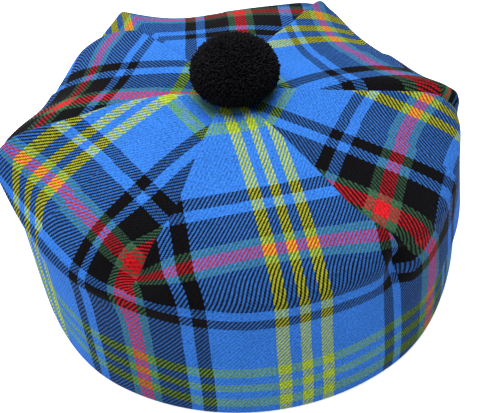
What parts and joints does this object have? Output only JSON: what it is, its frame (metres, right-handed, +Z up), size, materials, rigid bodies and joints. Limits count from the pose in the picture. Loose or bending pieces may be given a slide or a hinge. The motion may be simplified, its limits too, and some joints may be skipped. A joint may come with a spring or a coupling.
{
  "type": "tam o shanter",
  "caption": "Round tartan wool cap with an upright wall round the head, a flat crown drawn in by pleats, and a black yarn pompom on top.",
  "frame": {"origin": "on the surface that the cap stands on, below the middle of its box", "axes": "+Z up through the pompom, -Y towards the front panel, +X to the right of someone who looks at the front panel"},
  "size_m": [0.2026, 0.2016, 0.1047],
  "materials": {
    "tartan_wool_cloth": "matte wool twill in a blue tartan with black, red, green and yellow",
    "black_wool_yarn": "matte cut yarn, near black"
  },
  "bodies": {
    "root": {"crown": "tartan_wool_cloth", "pompom": "black_wool_yarn"}
  },
  "joints": []
}
